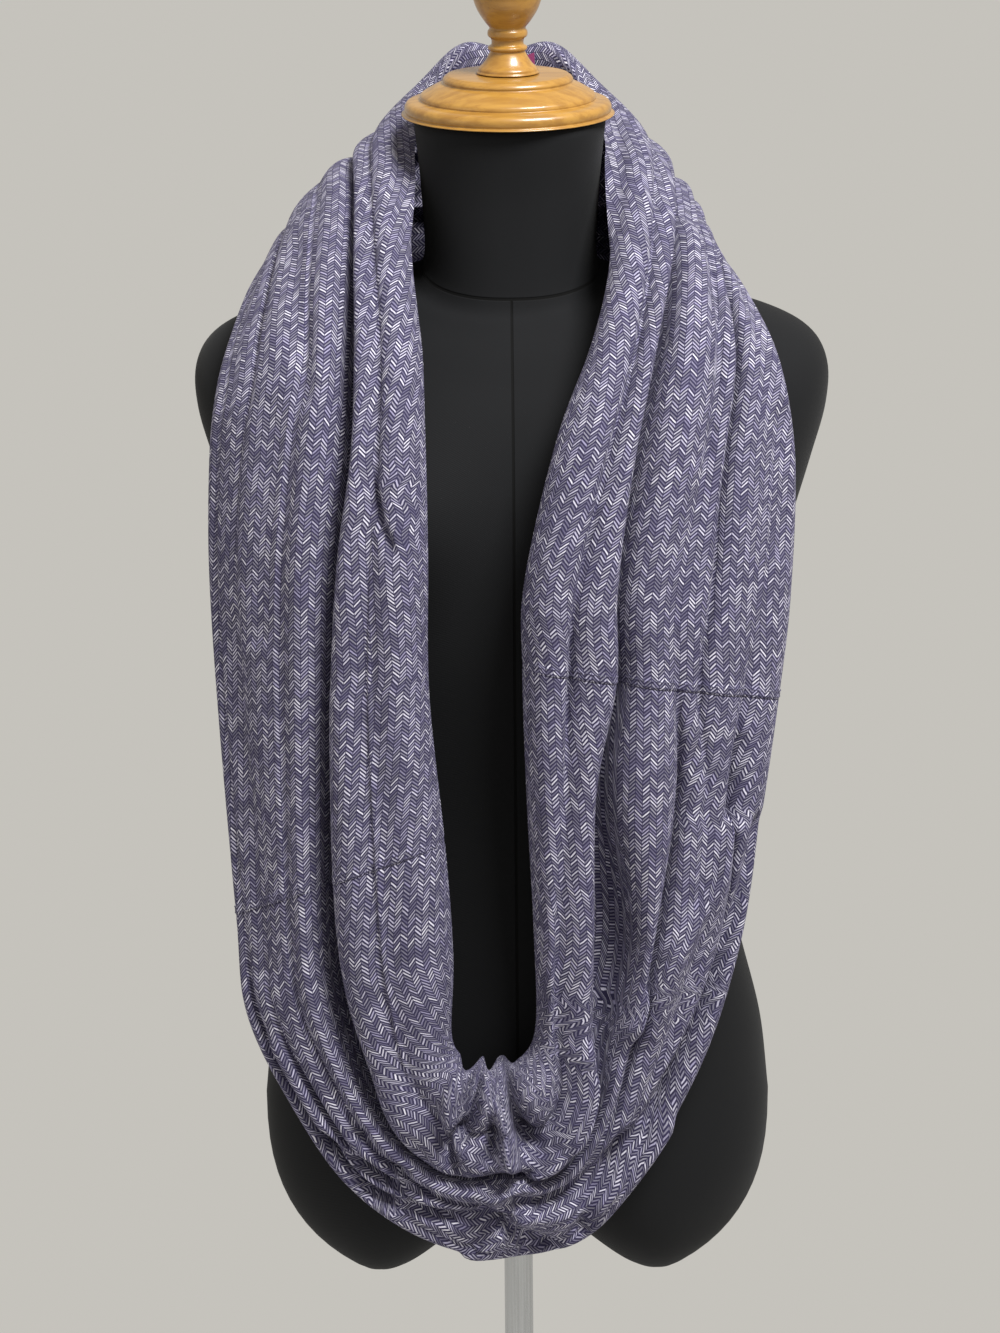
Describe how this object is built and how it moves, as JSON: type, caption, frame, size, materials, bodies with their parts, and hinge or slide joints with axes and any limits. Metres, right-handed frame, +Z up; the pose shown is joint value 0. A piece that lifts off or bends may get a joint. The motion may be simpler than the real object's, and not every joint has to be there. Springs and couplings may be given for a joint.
{
  "type": "infinity scarf on limbless dress form",
  "caption": "Knit infinity scarf hung once round the neck of a limbless dress form with a turned wooden cap and finial, on a steel pole and round base.",
  "frame": {"origin": "on the floor at the middle of the base plate's underside, on the pole's axis", "axes": "+Z up along the pole; -Y is the front, where the scarf hangs; +X is the wearer's left"},
  "size_m": [0.4, 0.34, 1.5636],
  "materials": {
    "knit": "matte",
    "tape": "matte",
    "form_cover": "matte",
    "varnished_wood": "gloss",
    "pole_steel": "brushed",
    "base_paint": "satin"
  },
  "bodies": {
    "root": {"scarf_lower_length": "knit", "scarf_upper_length": "knit", "nape_label": "tape", "torso_form": "form_cover", "neck_cap": "varnished_wood", "finial": "varnished_wood", "pole": "pole_steel", "base_plate": "base_paint"}
  },
  "joints": []
}
